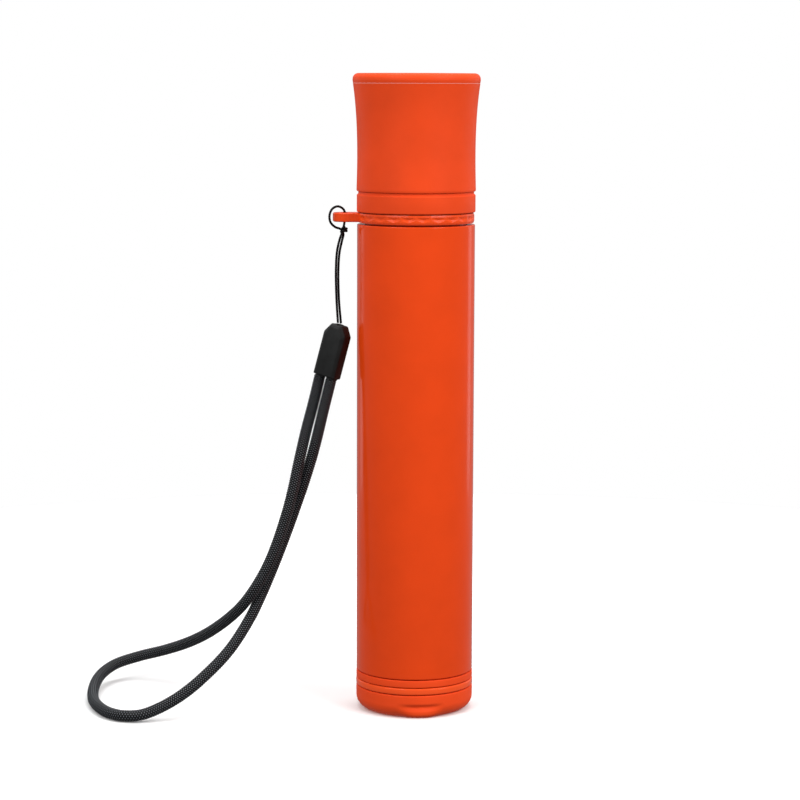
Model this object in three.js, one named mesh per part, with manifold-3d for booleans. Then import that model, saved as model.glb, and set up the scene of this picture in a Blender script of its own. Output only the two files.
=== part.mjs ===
// Pocket rescue tube in a hard canister, with a pull-off cap, a screwed base and a wrist lanyard.
// Units are millimetres, +Z is up. The origin is the centre of the base's flat underside.
import * as THREE from 'three';
import { mergeVertices } from 'three/addons/utils/BufferGeometryUtils.js';
import Module from 'manifold-3d';

const wasm = await Module();
wasm.setup();

// ---- driving dimensions ------------------------------------------------------------------------
const HEIGHT = 218.8;
const BODY_R = 20.1;
const BODY_WALL = 2.7;
const GAP = 0.3;             // between pieces that touch or turn on each other

const BASE_TOP = 13.4;       // joint between the base and the tube
const BAND_LOW = 10.7;       // joint between the base's band and its trim ring
const TRIM_LOW = 8.15;       // joint between the trim ring and the foot
const BASE_R = 20.15;
const TRIM_R = 20.2;
const FOOT_CORNER = 4.4;

const TUBE_TOP = 167.75;
const RING_LOW = 168.4;
const RING_TOP = 171.65;
const CAP_LOW = 171.95;
const CAP_GROOVE = 178.5;
const CAP_DISC_LOW = 215.5;
const CAP_RIM_R = 21.8;
const NECK_TOP = 206.0;

const SEG = 48;              // facets round an outer shell
const SEG_IN = 24;           // facets round an inner piece

// ---- radii that follow from them ---------------------------------------------------------------
const BORE_R = BODY_R - BODY_WALL;
const NECK_R = BORE_R - GAP;
const NECK_BORE_R = NECK_R - 2.0;
const CAP_BORE_R = NECK_R + 0.9;
const CAP_SHELL_R = CAP_BORE_R + 1.0;
const CAP_SKIN_BORE_R = CAP_SHELL_R + GAP;

// ---- colours -----------------------------------------------------------------------------------
const ORANGE_GLOSS = { color: 0xe04a22, roughness: 0.22 };
const ORANGE_SOFT = { color: 0xdc4f26, roughness: 0.6 };
const ORANGE_TRIM = { color: 0xf45a2c, roughness: 0.18 };
const BLACK_PLASTIC = { color: 0x1c1e1e, roughness: 0.55 };
const BLACK_CORD = { color: 0x17181a, roughness: 0.9 };
const GREY_NYLON = { color: 0x8c9094, roughness: 0.5 };
const SEAL_RUBBER = { color: 0x202020, roughness: 0.7 };
const STEEL = { color: 0xb9bcc0, roughness: 0.3, metalness: 1.0 };
const BRASS = { color: 0xc9a24a, roughness: 0.35, metalness: 1.0 };
const RED_PLASTIC = { color: 0xb8141a, roughness: 0.35 };
const TPU_FABRIC = { color: 0xf06a1e, roughness: 0.75 };

// ---- solids ------------------------------------------------------------------------------------
const device = new THREE.Group();

function enclosedVolume(geometry) {
  const p = geometry.attributes.position;
  const index = geometry.index;
  const corner = [new THREE.Vector3(), new THREE.Vector3(), new THREE.Vector3()];
  let volume = 0;
  for (let i = 0; i < index.count; i += 3) {
    corner.forEach((v, k) => v.fromBufferAttribute(p, index.getX(i + k)));
    volume += corner[0].dot(corner[1].clone().cross(corner[2])) / 6;
  }
  return volume;
}

// Shared corners become one vertex, and the faces are turned to point out.
function closedSolid(source) {
  const bare = source.clone();
  bare.deleteAttribute('normal');
  bare.deleteAttribute('uv');
  const merged = mergeVertices(bare, 1e-4);
  if (enclosedVolume(merged) < 0) {
    const turned = [];
    for (let i = 0; i < merged.index.count; i += 3) {
      turned.push(merged.index.getX(i), merged.index.getX(i + 2), merged.index.getX(i + 1));
    }
    merged.setIndex(turned);
  }
  return merged;
}

function toManifold(geometry) {
  const closed = closedSolid(geometry);
  const vertProperties = new Float32Array(closed.attributes.position.array);
  const triVerts = new Uint32Array(closed.index.array);
  return new wasm.Manifold(new wasm.Mesh({ numProp: 3, vertProperties, triVerts }));
}

function toGeometry(manifold) {
  const mesh = manifold.getMesh();
  const geometry = new THREE.BufferGeometry();
  geometry.setAttribute('position', new THREE.BufferAttribute(new Float32Array(mesh.vertProperties), 3));
  geometry.setIndex(new THREE.BufferAttribute(new Uint32Array(mesh.triVerts), 1));
  return geometry;
}

function cut(blank, ...tools) {
  return toGeometry(tools.reduce((left, tool) => left.subtract(toManifold(tool)), toManifold(blank)));
}

function join(first, ...others) {
  return toGeometry(others.reduce((sum, other) => sum.add(toManifold(other)), toManifold(first)));
}

// Turns an outline of [radius, height] pairs about the Z axis.
function turned(outline, segments = SEG) {
  const points = outline.map(([r, z]) => new THREE.Vector2(r, z));
  const first = points[0];
  const last = points[points.length - 1];
  const onAxis = first.x === 0 && last.x === 0;
  if (!onAxis) points.push(first.clone());
  return closedSolid(new THREE.LatheGeometry(points, segments).rotateX(Math.PI / 2));
}

// The same for an outline that changes round the axis: outlineAt(angle, step) gives it for each step.
function turnedBy(outlineAt, segments) {
  const positions = [];
  const faces = [];
  const count = outlineAt(0, 0).length;
  const onAxis = outlineAt(0, 0)[0][0] === 0;
  for (let i = 0; i < segments; i += 1) {
    const angle = 2 * Math.PI * i / segments;
    outlineAt(angle, i).forEach(([r, z]) => positions.push(r * Math.cos(angle), r * Math.sin(angle), z));
    const next = ((i + 1) % segments) * count;
    for (let k = 0; k < (onAxis ? count - 1 : count); k += 1) {
      const [a, b] = [i * count + k, i * count + (k + 1) % count];
      const [c, d] = [next + k, next + (k + 1) % count];
      if (i % 2) faces.push(a, c, d, a, d, b);
      else faces.push(a, c, b, c, d, b);
    }
  }
  const geometry = new THREE.BufferGeometry();
  geometry.setAttribute('position', new THREE.Float32BufferAttribute(positions, 3));
  geometry.setIndex(faces);
  return closedSolid(geometry);
}

// Points on a round edge in the [radius, height] plane.
function roundEdge(r, z, radius, fromDeg, toDeg, steps) {
  return Array.from({ length: steps + 1 }, (_, i) => {
    const a = THREE.MathUtils.degToRad(fromDeg + (toDeg - fromDeg) * i / steps);
    return [r + radius * Math.cos(a), z + radius * Math.sin(a)];
  });
}

function disc(radius, low, high, x = 0, y = 0, segments = SEG_IN) {
  const geometry = new THREE.CylinderGeometry(radius, radius, high - low, segments);
  return geometry.rotateX(Math.PI / 2).translate(x, y, (low + high) / 2);
}

function block(x0, x1, y0, y1, z0, z1) {
  const geometry = new THREE.BoxGeometry(x1 - x0, y1 - y0, z1 - z0);
  return geometry.translate((x0 + x1) / 2, (y0 + y1) / 2, (z0 + z1) / 2);
}

function sleeve(outer, inner, low, high, segments = SEG) {
  return turned([[inner, low], [outer, low], [outer, high], [inner, high]], segments);
}

function oRing(radius, height, wire, segments = SEG_IN) {
  return turned(roundEdge(radius, height, wire, 0, 300, 5), segments);
}

function roundSection(radius, sides) {
  const shape = new THREE.Shape();
  for (let i = 0; i < sides; i += 1) {
    const a = 2 * Math.PI * i / sides;
    shape[i ? 'lineTo' : 'moveTo'](radius * Math.cos(a), radius * Math.sin(a));
  }
  shape.closePath();
  return shape;
}

function cordAlong(points, radius, sides, steps) {
  const path = new THREE.CatmullRomCurve3(points.map((p) => new THREE.Vector3(...p)), false, 'centripetal');
  return new THREE.ExtrudeGeometry(roundSection(radius, sides),
    { steps, extrudePath: path, bevelEnabled: false });
}

function add(name, geometry, look) {
  const mesh = new THREE.Mesh(closedSolid(geometry), new THREE.MeshStandardMaterial(look));
  mesh.name = name;
  device.add(mesh);
  return mesh;
}

// ---- base: foot, trim ring, band and the threaded plug they sit on ------------------------------
const PLUG_R = BORE_R - GAP;
const PLUG_ROOT_R = PLUG_R - 0.8;
const PLUG_TOP = 30.0;
const PLUG_FLOOR = 6.0;
const PLUG_BORE_R = 14.7;
const FOOT_FLOOR = 2.6;
const FOOT_BORE_R = PLUG_R + GAP;
const THREAD_LOW = 19.6;
const THREAD_PITCH = 3.0;
const THREAD_TURNS = 3;
const SEAL_GROOVE = 16.6;
const SEAL_GROOVE_HALF = 1.1;
const SEAL_GROOVE_R = PLUG_ROOT_R - 0.6;
const SEAL_WIRE = 0.55;

// The foot is round-cornered. At the front a thumb lip fills the corner, below a scooped crease.
const LIP_TURN = -83;        // degrees from +X
const LIP_HALF_DEG = 27;     // where the lip has faded into the round corner
const LIP_FLAT_DEG = 6;      // where it is at its full shape
const LIP_EDGE = [[19.0, 0.2], [19.6, 0.6], [19.9, 1.7], [19.6, 4.2], [20.0, 4.9]];

function lipShare(angle) {
  const turn = THREE.MathUtils.radToDeg(angle) - LIP_TURN;
  const off = Math.abs(((turn + 180) % 360 + 360) % 360 - 180);
  return 1 - THREE.MathUtils.smoothstep(off, LIP_FLAT_DEG, LIP_HALF_DEG);
}

function baseCup() {
  const corner = roundEdge(BASE_R - FOOT_CORNER, FOOT_CORNER, FOOT_CORNER, -75, 0, LIP_EDGE.length - 1);
  const outlineAt = (angle) => {
    const share = lipShare(angle);
    const edge = corner.map(([r, z], i) => [
      THREE.MathUtils.lerp(r, LIP_EDGE[i][0], share),
      THREE.MathUtils.lerp(z, LIP_EDGE[i][1], share),
    ]);
    return [
      [0, 0],
      [BASE_R - FOOT_CORNER, 0],
      ...edge,
      [BASE_R, FOOT_CORNER + 0.6],
      [BASE_R, TRIM_LOW - GAP / 2],
      [FOOT_BORE_R, TRIM_LOW - GAP / 2],
      [FOOT_BORE_R, FOOT_FLOOR],
      [0, FOOT_FLOOR],
    ];
  };
  return turnedBy(outlineAt, SEG);
}

function basePlug() {
  const outline = [
    [0, FOOT_FLOOR + GAP],
    [PLUG_R, FOOT_FLOOR + GAP],
    [PLUG_R, SEAL_GROOVE - SEAL_GROOVE_HALF],
    [SEAL_GROOVE_R, SEAL_GROOVE - SEAL_GROOVE_HALF],
    [SEAL_GROOVE_R, SEAL_GROOVE + SEAL_GROOVE_HALF],
    [PLUG_R, SEAL_GROOVE + SEAL_GROOVE_HALF],
    [PLUG_R, THREAD_LOW - 1.0],
    [PLUG_ROOT_R, THREAD_LOW - 0.8],
  ];
  for (let turn = 0; turn < THREAD_TURNS; turn += 1) {
    const z = THREAD_LOW + turn * THREAD_PITCH;
    outline.push([PLUG_ROOT_R, z + 0.2], [PLUG_R, z + 0.9], [PLUG_R, z + 1.3], [PLUG_ROOT_R, z + 2.0]);
  }
  outline.push([PLUG_ROOT_R, PLUG_TOP - 0.8], [PLUG_ROOT_R - 0.8, PLUG_TOP]);
  outline.push([PLUG_BORE_R, PLUG_TOP], [PLUG_BORE_R, PLUG_FLOOR], [0, PLUG_FLOOR]);
  return turned(outline, SEG_IN);
}

add('base_cup', baseCup(), ORANGE_SOFT);
add('base_trim_ring', sleeve(TRIM_R, FOOT_BORE_R, TRIM_LOW + GAP / 2, BAND_LOW - GAP / 2),
  ORANGE_TRIM);
add('base_band', sleeve(BASE_R, FOOT_BORE_R, BAND_LOW + GAP / 2, BASE_TOP - GAP / 2), ORANGE_SOFT);
add('base_plug', basePlug(), GREY_NYLON);
add('base_o_ring', oRing(PLUG_R - SEAL_WIRE, SEAL_GROOVE, SEAL_WIRE), SEAL_RUBBER);

// ---- gas cartridge and its rubber cradle ---------------------------------------------------------
const CARTRIDGE_R = 10.9;
const CARTRIDGE_LOW = 11.0;
const CARTRIDGE_TOP = 98.0;
const CARTRIDGE_NECK_R = 4.7;
const PIERCED_R = 1.7;

function cartridge() {
  const dome = roundEdge(0, CARTRIDGE_LOW + CARTRIDGE_R, CARTRIDGE_R, -90, 0, 5);
  dome[0] = [0, CARTRIDGE_LOW];
  const neckLow = CARTRIDGE_TOP - 13;
  return turned([
    ...dome,
    [CARTRIDGE_R, neckLow - 11],
    [CARTRIDGE_R - 0.8, neckLow - 7.5],
    [CARTRIDGE_R - 3.2, neckLow - 3.5],
    [CARTRIDGE_NECK_R + 0.6, neckLow - 0.8],
    [CARTRIDGE_NECK_R, neckLow],
    [CARTRIDGE_NECK_R, CARTRIDGE_TOP - 0.5],
    [CARTRIDGE_NECK_R - 0.5, CARTRIDGE_TOP],
    [PIERCED_R, CARTRIDGE_TOP],
    [PIERCED_R, CARTRIDGE_TOP - 5],
    [0, CARTRIDGE_TOP - 5],
  ], SEG_IN);
}

function cartridgeCradle() {
  const seatR = CARTRIDGE_R + GAP;
  const seatZ = CARTRIDGE_LOW + CARTRIDGE_R;
  const seat = roundEdge(0, seatZ, seatR, -30, -90, 3);
  seat[seat.length - 1] = [0, seatZ - seatR];
  return turned([
    [0, PLUG_FLOOR + GAP],
    [PLUG_BORE_R - GAP, PLUG_FLOOR + GAP],
    [PLUG_BORE_R - GAP, seat[0][1] + 2],
    [seat[0][0] + 1.4, seat[0][1] + 2],
    ...seat,
  ], SEG_IN);
}

add('cartridge_cradle', cartridgeCradle(), SEAL_RUBBER);
add('co2_cartridge', cartridge(), STEEL);

// ---- body tube and neck --------------------------------------------------------------------------
const NECK_LOW = 150.0;
const O_RING_WIRE = 0.9;
const O_RING_HEIGHTS = { neck_o_ring_lower: 180.0, neck_o_ring_upper: 188.0 };
const O_RING_R = NECK_R - 0.4;

function bodyTube() {
  const low = BASE_TOP + GAP / 2;
  return turned([
    [BORE_R, low],
    [BODY_R - 0.4, low],
    [BODY_R, low + 0.4],
    [BODY_R, TUBE_TOP - 0.5],
    ...roundEdge(BODY_R - 0.5, TUBE_TOP - 0.5, 0.5, 30, 90, 2),
    [BORE_R, TUBE_TOP],
  ]);
}

function neckSleeve() {
  const outline = [[NECK_BORE_R, NECK_LOW], [NECK_R, NECK_LOW]];
  Object.values(O_RING_HEIGHTS).forEach((z) => {
    const half = O_RING_WIRE + 0.25;
    const root = O_RING_R - O_RING_WIRE - GAP;
    outline.push([NECK_R, z - half], [root, z - half], [root, z + half], [NECK_R, z + half]);
  });
  outline.push([NECK_R, NECK_TOP - 2.5], [NECK_R - 0.9, NECK_TOP], [NECK_BORE_R, NECK_TOP]);
  return turned(outline, SEG_IN);
}

add('body_tube', bodyTube(), ORANGE_GLOSS);
add('neck_sleeve', neckSleeve(), ORANGE_GLOSS);
Object.entries(O_RING_HEIGHTS).forEach(([name, z]) => {
  add(name, oRing(O_RING_R, z, O_RING_WIRE), SEAL_RUBBER);
});

// ---- pull-off cap --------------------------------------------------------------------------------
const CAP_INNER_TOP = 212.6;
const WAIST_R = 20.1;
const WAIST_Z = 190.0;
const SKIRT_R = 20.22;
const GROOVE_DEPTH = 0.45;

// The sleeve flares like a horn from its waist up to the rim.
function sleeveRadius(z) {
  const flare = Math.max(0, z - WAIST_Z) / (CAP_DISC_LOW - WAIST_Z);
  const foot = Math.max(0, WAIST_Z - z) / 11.0;
  return WAIST_R + 1.5 * flare ** 2.4 + 0.24 * Math.min(1, foot) ** 1.5;
}

function capGripSleeve() {
  const low = CAP_GROOVE + GROOVE_DEPTH;
  const high = CAP_DISC_LOW - GAP / 2;
  const steps = 7;
  const outside = Array.from({ length: steps + 1 }, (_, i) => {
    const z = low + 0.3 + (high - low - 0.3) * i / steps;
    return [sleeveRadius(z), z];
  });
  return turned([
    [CAP_SKIN_BORE_R, low],
    [outside[0][0] - 0.3, low],
    ...outside,
    [CAP_SKIN_BORE_R, high],
  ]);
}

function capSkirtBand() {
  const high = CAP_GROOVE + GAP / 2;
  return turned([
    [CAP_SKIN_BORE_R, CAP_LOW],
    [SKIRT_R - 0.3, CAP_LOW],
    [SKIRT_R, CAP_LOW + 0.3],
    [SKIRT_R, high - 2 * GROOVE_DEPTH],
    [SKIRT_R - GROOVE_DEPTH, high - 1.3 * GROOVE_DEPTH],
    [SKIRT_R - GROOVE_DEPTH, high],
    [CAP_SKIN_BORE_R, high],
  ]);
}

function capShell() {
  const top = CAP_DISC_LOW - GAP / 2;
  return turned([
    [0, CAP_INNER_TOP],
    [CAP_BORE_R, CAP_INNER_TOP],
    [CAP_BORE_R, CAP_LOW + 0.4],
    [CAP_SHELL_R, CAP_LOW + 0.4],
    [CAP_SHELL_R, top],
    [0, top],
  ], SEG_IN);
}

function capEndDisc() {
  const low = CAP_DISC_LOW + GAP / 2;
  const edge = 1.35;
  const crown = 1.9;
  return turned([
    [0, low],
    [CAP_RIM_R - 0.25, low],
    ...roundEdge(CAP_RIM_R - edge, low + edge * 0.75, edge, -20, 20, 1),
    ...roundEdge(CAP_RIM_R - crown - 0.1, HEIGHT - crown, crown, 35, 90, 3),
    [0, HEIGHT],
  ]);
}

add('cap_grip_sleeve', capGripSleeve(), ORANGE_SOFT);
add('cap_skirt_band', capSkirtBand(), ORANGE_SOFT);
add('cap_shell', capShell(), ORANGE_GLOSS);
add('cap_end_disc', capEndDisc(), ORANGE_SOFT);
add('cap_liner_seal', disc(CAP_BORE_R - GAP, CAP_INNER_TOP - 1.9, CAP_INNER_TOP - GAP), SEAL_RUBBER);

// ---- firing gear ---------------------------------------------------------------------------------
const INFLATOR_LOW = 88.0;
const INFLATOR_TOP = 118.0;
const PIVOT_X = -5.2;
const PIVOT_Z = 112.0;
const PIVOT_PIN_R = 1.2;
const LEVER_REST_DEG = 25.0;     // below level, on the side of the pull
const ECCENTRIC = 4.73;
const CAM_R = 3.5;
const LEVER_WIDTH = 3.0;
const LEVER_THICK = 2.0;
const PULL_X = -13.0;
const LEVER_REACH = PIVOT_X - PULL_X + 1.9;
const CHAMBER_R = 3.0;
const PIN_HEAD_R = 2.2;
const PIN_SHAFT_R = 1.0;
const SEAL_TOP = CARTRIDGE_TOP + 1.9;
const CAM_BOTTOM = PIVOT_Z + ECCENTRIC * Math.sin(THREE.MathUtils.degToRad(LEVER_REST_DEG)) - CAM_R;
const PIN_TOP = CAM_BOTTOM - GAP;
const LEVER_SLOT_LOW = 103.5;
const LEVER_SLOT_HALF = 2.2;
const TOGGLE_HALF = 3.2;
const TOGGLE_WINDOW = 3.7;
const TOGGLE_BAR = 1.2;
const LEVER_TIP_Z = PIVOT_Z - (PIVOT_X - PULL_X) * Math.tan(THREE.MathUtils.degToRad(LEVER_REST_DEG));
const INLET_X = 10.5;
const INLET_LOW = 108.0;
const INLET_BORE_R = 1.1;
const INLET_STEM_R = 2.0;
const INLET_FLANGE_R = 4.2;
const INLET_HOLE_R = INLET_STEM_R + 0.4;

function crossPin(radius, halfLength, x, z, segments = 16) {
  return new THREE.CylinderGeometry(radius, radius, 2 * halfLength, segments).translate(x, 0, z);
}

function inflatorBody() {
  return cut(
    disc(NECK_R - 0.2, INFLATOR_LOW, INFLATOR_TOP),
    disc(CARTRIDGE_NECK_R + 0.4, INFLATOR_LOW - 1, SEAL_TOP + 0.4),
    disc(CHAMBER_R, SEAL_TOP, INFLATOR_TOP + 1, 0, 0, 16),
    block(-NECK_R - 1, PIVOT_X + 12, -LEVER_SLOT_HALF, LEVER_SLOT_HALF, LEVER_SLOT_LOW, INFLATOR_TOP + 1),
    block(-NECK_R - 1, PULL_X + 2.4, -TOGGLE_HALF - 0.6, TOGGLE_HALF + 0.6, LEVER_SLOT_LOW,
      INFLATOR_TOP + 1),
    crossPin(PIVOT_PIN_R + GAP, NECK_R + 1, PIVOT_X, PIVOT_Z),
    disc(INLET_HOLE_R, INLET_LOW - 1, INFLATOR_TOP + 1, INLET_X, 0, 12),
  );
}

// Arm towards the pull, boss on the pivot, and the eccentric on the other side, as one flat piece.
function firingLever() {
  const plate = { depth: LEVER_WIDTH, steps: 1, bevelEnabled: false, curveSegments: 10 };
  const eye = new THREE.Shape();
  eye.absarc(0, 0, 2.5, 0, 2 * Math.PI);
  const cam = new THREE.Shape();
  cam.absarc(ECCENTRIC, 0, CAM_R, 0, 2 * Math.PI);
  const arm = new THREE.Shape();
  arm.moveTo(0, -LEVER_THICK / 2);
  arm.lineTo(0, LEVER_THICK / 2);
  arm.lineTo(-LEVER_REACH, LEVER_THICK / 2);
  arm.lineTo(-LEVER_REACH, -LEVER_THICK / 2);
  arm.closePath();
  const [boss, wheel, bar] = [eye, cam, arm].map((shape) => new THREE.ExtrudeGeometry(shape, plate));
  const lever = join(boss, wheel, bar);
  lever.translate(0, 0, -LEVER_WIDTH / 2).rotateX(Math.PI / 2);
  lever.rotateY(THREE.MathUtils.degToRad(-LEVER_REST_DEG)).translate(PIVOT_X, 0, PIVOT_Z);
  return cut(lever, crossPin(PIVOT_PIN_R + GAP, 5, PIVOT_X, PIVOT_Z));
}

function piercingPin() {
  return turned([
    [0, CARTRIDGE_TOP + 0.6],
    [PIN_SHAFT_R, CARTRIDGE_TOP + 3],
    [PIN_SHAFT_R, PIN_TOP - 3],
    [PIN_HEAD_R, PIN_TOP - 3],
    [PIN_HEAD_R, PIN_TOP],
    [0, PIN_TOP],
  ], 12);
}

function pinSpring() {
  const low = SEAL_TOP + GAP + 0.45;
  const high = PIN_TOP - 3 - GAP - 0.45;
  const turns = 4;
  const points = [];
  for (let i = 0; i <= turns * 12; i += 1) {
    const a = 2 * Math.PI * i / 12;
    points.push([1.75 * Math.cos(a), 1.75 * Math.sin(a), low + (high - low) * i / (turns * 12)]);
  }
  return cordAlong(points, 0.32, 5, turns * 11);
}

// A yoke whose window holds the lever's tip, with room for the lever to tilt in it.
function pullToggle() {
  const half = TOGGLE_WINDOW / 2;
  const side = TOGGLE_HALF - TOGGLE_BAR;
  return cut(
    block(PULL_X - 0.8, PULL_X + 0.8, -TOGGLE_HALF, TOGGLE_HALF, LEVER_TIP_Z - half - TOGGLE_BAR,
      TOGGLE_TOP),
    block(PULL_X - 2, PULL_X + 2, -side, side, LEVER_TIP_Z - half, LEVER_TIP_Z + half),
  );
}

const TOGGLE_TOP = LEVER_TIP_Z + TOGGLE_WINDOW / 2 + TOGGLE_BAR;
const PULL_CORD_R = 0.8;
const KNOB_X = -11.2;
const KNOB_LOW = 191.0;
const KNOB_TOP = 199.0;

const PULL_ROUTE = [
  [PULL_X, 0, TOGGLE_TOP + GAP],
  [PULL_X, 0, 130],
  [PULL_X, 0, 150],
  [PULL_X, 0, 170],
  [PULL_X, 0, 183],
  [PULL_X + 0.5, 0, 187],
  [KNOB_X, 0, KNOB_LOW - GAP],
];

function pullKnob() {
  const knob = turned([
    [0, KNOB_LOW],
    [2.2, KNOB_LOW],
    [2.6, KNOB_LOW + 2],
    ...roundEdge(0.8, KNOB_TOP - 2.6, 2.6, -30, 90, 4),
    [0, KNOB_TOP],
  ], 16);
  return knob.translate(KNOB_X, 0, 0);
}

add('inflator_body', inflatorBody(), GREY_NYLON);
add('cartridge_seal', sleeve(CARTRIDGE_NECK_R, PIERCED_R, CARTRIDGE_TOP + GAP, SEAL_TOP, SEG_IN),
  SEAL_RUBBER);
add('firing_lever', firingLever(), STEEL);
add('lever_pivot_pin', crossPin(PIVOT_PIN_R, 14, PIVOT_X, PIVOT_Z), STEEL);
add('piercing_pin', piercingPin(), BRASS);
add('pin_spring', pinSpring(), STEEL);
add('pull_toggle', pullToggle(), BLACK_PLASTIC);
add('pull_cord', cordAlong(PULL_ROUTE, PULL_CORD_R, 8, 16), BLACK_CORD);
add('pull_knob', pullKnob(), RED_PLASTIC);

// ---- folded tube with its gas inlet and mouth valve ----------------------------------------------
const BULKHEAD_LOW = 119.6;
const BULKHEAD_TOP = 121.4;
const BLADDER_X = 1.2;
const BLADDER_R = 12.7;
const BLADDER_LOW = 124.2;
const BLADDER_TOP = 188.0;
const ORAL_X = 4.5;
const ORAL_TUBE_R = 2.8;
const ORAL_BORE_R = 1.8;
const ORAL_CAP_R = 4.1;

function bulkheadDisc() {
  return cut(
    disc(NECK_R - 0.1, BULKHEAD_LOW, BULKHEAD_TOP),
    disc(INLET_HOLE_R, BULKHEAD_LOW - 1, BULKHEAD_TOP + 1, INLET_X, 0, 12),
    disc(PULL_CORD_R + 0.7, BULKHEAD_LOW - 1, BULKHEAD_TOP + 1, PULL_X, 0, 12),
  );
}

function bladderInlet() {
  return turned([
    [INLET_BORE_R, INLET_LOW],
    [INLET_STEM_R, INLET_LOW],
    [INLET_STEM_R, BULKHEAD_TOP + 0.4],
    [INLET_FLANGE_R, BULKHEAD_TOP + 0.4],
    [INLET_FLANGE_R, BLADDER_LOW - GAP],
    [INLET_BORE_R, BLADDER_LOW - GAP],
  ], 12).translate(INLET_X, 0, 0);
}

function rescueBladder() {
  return turned([
    [0, BLADDER_LOW],
    [BLADDER_R - 1.5, BLADDER_LOW],
    [BLADDER_R, BLADDER_LOW + 2],
    [BLADDER_R, BLADDER_TOP - 4],
    [BLADDER_R - 3, BLADDER_TOP],
    [0, BLADDER_TOP],
  ], SEG_IN).translate(BLADDER_X, 0, 0);
}

function oralTube() {
  return sleeve(ORAL_TUBE_R, ORAL_BORE_R, BLADDER_TOP + GAP, BLADDER_TOP + 6, 16)
    .translate(ORAL_X, 0, 0);
}

function oralValveCap() {
  const low = BLADDER_TOP + 2.4;
  const top = BLADDER_TOP + 9;
  return turned([
    [0, top - 1.6],
    [ORAL_TUBE_R + GAP, top - 1.6],
    [ORAL_TUBE_R + GAP, low],
    [ORAL_CAP_R, low],
    [ORAL_CAP_R, top - 0.8],
    [ORAL_CAP_R - 0.8, top],
    [0, top],
  ], 16).translate(ORAL_X, 0, 0);
}

add('bulkhead_disc', bulkheadDisc(), GREY_NYLON);
add('bladder_inlet', bladderInlet(), BRASS);
add('rescue_bladder', rescueBladder(), TPU_FABRIC);
add('oral_tube', oralTube(), BLACK_PLASTIC);
add('oral_valve_cap', oralValveCap(), RED_PLASTIC);

// ---- lanyard: swivel ring, string, clasp and braided wrist cord ----------------------------------
const RING_NOTCHES = 24;
const RING_EDGE_R = 19.6;
const RING_R = 19.85;
const NOTCH_R = 19.4;
const RING_MARGIN = 0.65;
const RING_BORE_R = NECK_R + 0.35;
const TAB_LOW = 168.55;
const TAB_TOP = 171.65;
const TAB_END_X = -28.4;
const TAB_HALF_WIDTH = 4.2;
const EYELET_X = -24.2;
const EYELET_R = 1.5;

// Diamond-shaped notches stand side by side round the rim, each with its deepest point at mid height.
function notchedRing() {
  const middle = (RING_LOW + RING_TOP) / 2;
  return turnedBy((angle, step) => [
    [RING_BORE_R, RING_LOW],
    [RING_EDGE_R, RING_LOW],
    [RING_R, RING_LOW + RING_MARGIN],
    [step % 2 ? NOTCH_R : RING_R, middle],
    [RING_R, RING_TOP - RING_MARGIN],
    [RING_EDGE_R, RING_TOP],
    [RING_BORE_R, RING_TOP],
  ], 2 * RING_NOTCHES);
}

function lanyardRing() {
  const tab = new THREE.Shape();
  const endX = TAB_END_X + TAB_HALF_WIDTH;
  tab.moveTo(-RING_BORE_R - 1, -TAB_HALF_WIDTH);
  tab.lineTo(-RING_BORE_R - 1, TAB_HALF_WIDTH);
  tab.absarc(endX, 0, TAB_HALF_WIDTH, Math.PI / 2, 3 * Math.PI / 2, false);
  tab.closePath();
  const bevel = 0.35;
  const plate = new THREE.ExtrudeGeometry(tab, {
    depth: TAB_TOP - TAB_LOW - 2 * bevel, steps: 1, curveSegments: 12, bevelEnabled: true,
    bevelThickness: bevel, bevelSize: bevel, bevelOffset: -bevel, bevelSegments: 1,
  });
  plate.translate(0, 0, TAB_LOW + bevel);
  return cut(join(notchedRing(), plate), disc(EYELET_R, RING_LOW - 1, RING_TOP + 1, EYELET_X, 0, 20));
}

// The clasp hangs tilted, with its foot swung away from the tube.
const CLASP = { length: 18.4, width: 8.6, thick: 6.2, tiltDeg: 14.5, turnDeg: 28 };
const CLASP_TOP = new THREE.Vector3(-25.9, 0, 133.2);

function cordClasp() {
  const { length, width, thick } = CLASP;
  const half = width / 2;
  const shoulder = 2.0;
  const face = new THREE.Shape();
  face.moveTo(-half, -length);
  face.lineTo(half, -length);
  face.lineTo(half, -shoulder * 1.6);
  face.lineTo(half - shoulder, 0);
  face.lineTo(-half + shoulder, 0);
  face.lineTo(-half, -shoulder * 1.6);
  face.closePath();
  const bevel = 0.5;
  const blank = new THREE.ExtrudeGeometry(face, {
    depth: thick - 2 * bevel, steps: 1, bevelEnabled: true,
    bevelThickness: bevel, bevelSize: bevel, bevelOffset: -bevel, bevelSegments: 2,
  });
  blank.translate(0, 0, bevel - thick / 2).rotateX(Math.PI / 2);
  blank.rotateZ(THREE.MathUtils.degToRad(-CLASP.turnDeg));
  blank.rotateY(THREE.MathUtils.degToRad(CLASP.tiltDeg));
  return blank.translate(CLASP_TOP.x, CLASP_TOP.y, CLASP_TOP.z);
}

const STRING_R = 0.4;
const STRING_ROUTE = [
  [-26.6, -0.5, 133.9],
  [-27.1, -0.5, 142.0],
  [-27.3, -0.5, 152.0],
  [-26.9, -0.6, 158.5],
  [-26.0, -0.7, 162.5],
  [-25.0, -0.8, 165.4],
  [-24.5, -0.6, 167.6],
  [-24.2, -0.3, 169.8],
  [-24.2, -0.3, 171.4],
  [-24.9, -0.6, 172.9],
  [-26.7, -1.4, 173.75],
  [-28.5, -2.1, 172.9],
  [-29.4, -2.4, 170.8],
  [-29.1, -2.2, 168.4],
  [-27.5, -1.2, 166.7],
  [-25.7, 0.2, 165.9],
  [-24.8, 0.9, 164.3],
  [-25.3, 1.0, 161.8],
  [-26.1, 0.9, 158.0],
  [-26.5, 0.7, 152.0],
  [-26.3, 0.5, 142.0],
  [-25.6, 0.5, 133.6],
];

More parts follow.
